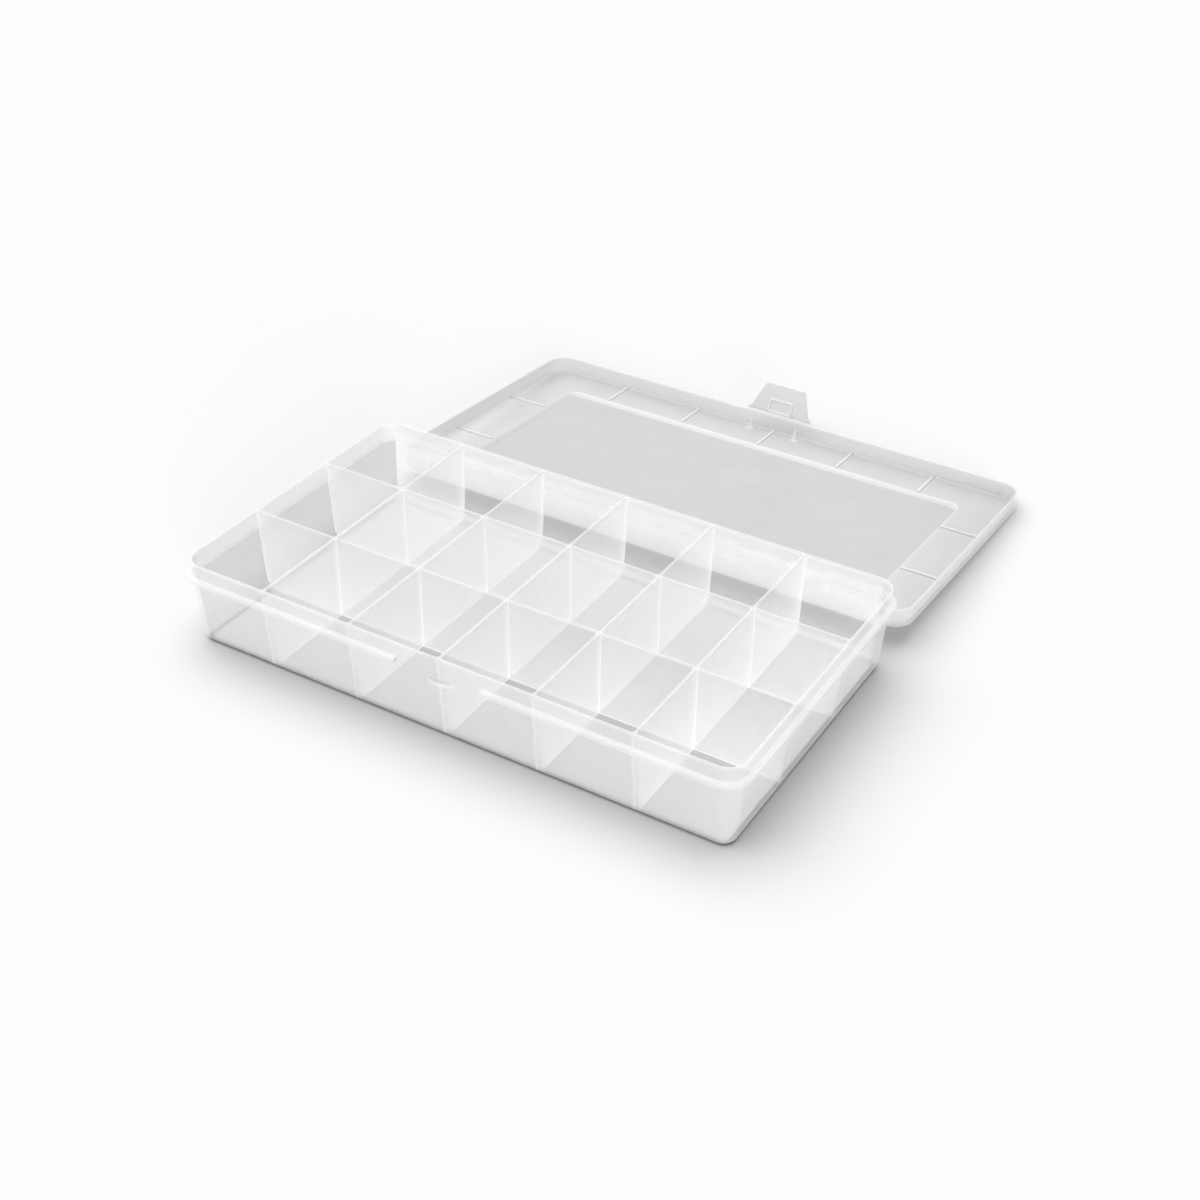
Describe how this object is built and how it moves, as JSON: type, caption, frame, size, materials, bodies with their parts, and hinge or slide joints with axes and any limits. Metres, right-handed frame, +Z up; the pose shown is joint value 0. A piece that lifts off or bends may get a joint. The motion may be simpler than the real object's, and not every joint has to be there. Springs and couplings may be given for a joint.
{
  "type": "compartment box",
  "caption": "Frosted clear bead organizer: a shallow tray of fixed square compartments, a full-size lid hinged along the back and a snap latch tongue on the lid's front edge.",
  "frame": {"origin": "centre of the tray's underside, on the surface that the box stands on", "axes": "+Z up, +Y from the front wall with the catch towards the hinged back, +X to the right along the long side"},
  "size_m": [0.2314, 0.2695, 0.0347],
  "materials": {
    "tray_plastic": "translucent natural polypropylene, satin",
    "lid_plastic": "translucent natural polypropylene, finely frosted"
  },
  "bodies": {
    "tray": {"belt_front_left": "tray_plastic", "belt_front_right": "tray_plastic", "belt_left": "tray_plastic", "belt_rear_left": "tray_plastic", "belt_rear_middle": "tray_plastic", "belt_rear_right": "tray_plastic", "belt_right": "tray_plastic", "column_divider_1_row_1": "tray_plastic", "column_divider_1_row_2": "tray_plastic", "column_divider_1_row_3": "tray_plastic", "column_divider_2_row_1": "tray_plastic", "column_divider_2_row_2": "tray_plastic", "column_divider_2_row_3": "tray_plastic", "column_divider_3_row_1": "tray_plastic", "column_divider_3_row_2": "tray_plastic", "column_divider_3_row_3": "tray_plastic", "column_divider_4_row_1": "tray_plastic", "column_divider_4_row_2": "tray_plastic", "column_divider_4_row_3": "tray_plastic", "column_divider_5_row_1": "tray_plastic", "column_divider_5_row_2": "tray_plastic", "column_divider_5_row_3": "tray_plastic", "hinge_ear_left_inner": "tray_plastic", "hinge_ear_left_outer": "tray_plastic", "hinge_ear_right_inner": "tray_plastic", "hinge_ear_right_outer": "tray_plastic", "hinge_pin_left": "tray_plastic", "hinge_pin_right": "tray_plastic", "latch_catch": "tray_plastic", "row_divider_1": "tray_plastic", "row_divider_2": "tray_plastic", "tray_floor": "tray_plastic", "tray_wall_front": "tray_plastic", "tray_wall_left": "tray_plastic", "tray_wall_rear": "tray_plastic", "tray_wall_right": "tray_plastic"},
    "lid": {"hinge_knuckle_left_inner": "lid_plastic", "hinge_knuckle_left_outer": "lid_plastic", "hinge_knuckle_right_inner": "lid_plastic", "hinge_knuckle_right_outer": "lid_plastic", "latch_web": "lid_plastic", "lid_panel": "lid_plastic", "lid_ribs_front": "lid_plastic", "lid_ribs_left": "lid_plastic", "lid_ribs_rear": "lid_plastic", "lid_ribs_right": "lid_plastic", "lid_skirt_front": "lid_plastic", "lid_skirt_left": "lid_plastic", "lid_skirt_rear": "lid_plastic", "lid_skirt_right": "lid_plastic", "locating_pip_left": "lid_plastic", "locating_pip_right": "lid_plastic"},
    "latch": {"latch_tongue": "lid_plastic", "pocket_frame": "lid_plastic"}
  },
  "joints": [
    {"name": "lid_hinge", "type": "hinge", "parent": "tray", "child": "lid", "pos_m": [0, 0.0668, 0.0237], "axis": [1, 0, 0], "range_deg": [0, 184.55]},
    {"name": "latch_hinge", "type": "hinge", "parent": "lid", "child": "latch", "pos_m": [0, 0.19823, 0.00753], "axis": [1, 0, 0], "range_deg": [-68, 22], "stiffness_Nm_per_rad": 0.002}
  ]
}
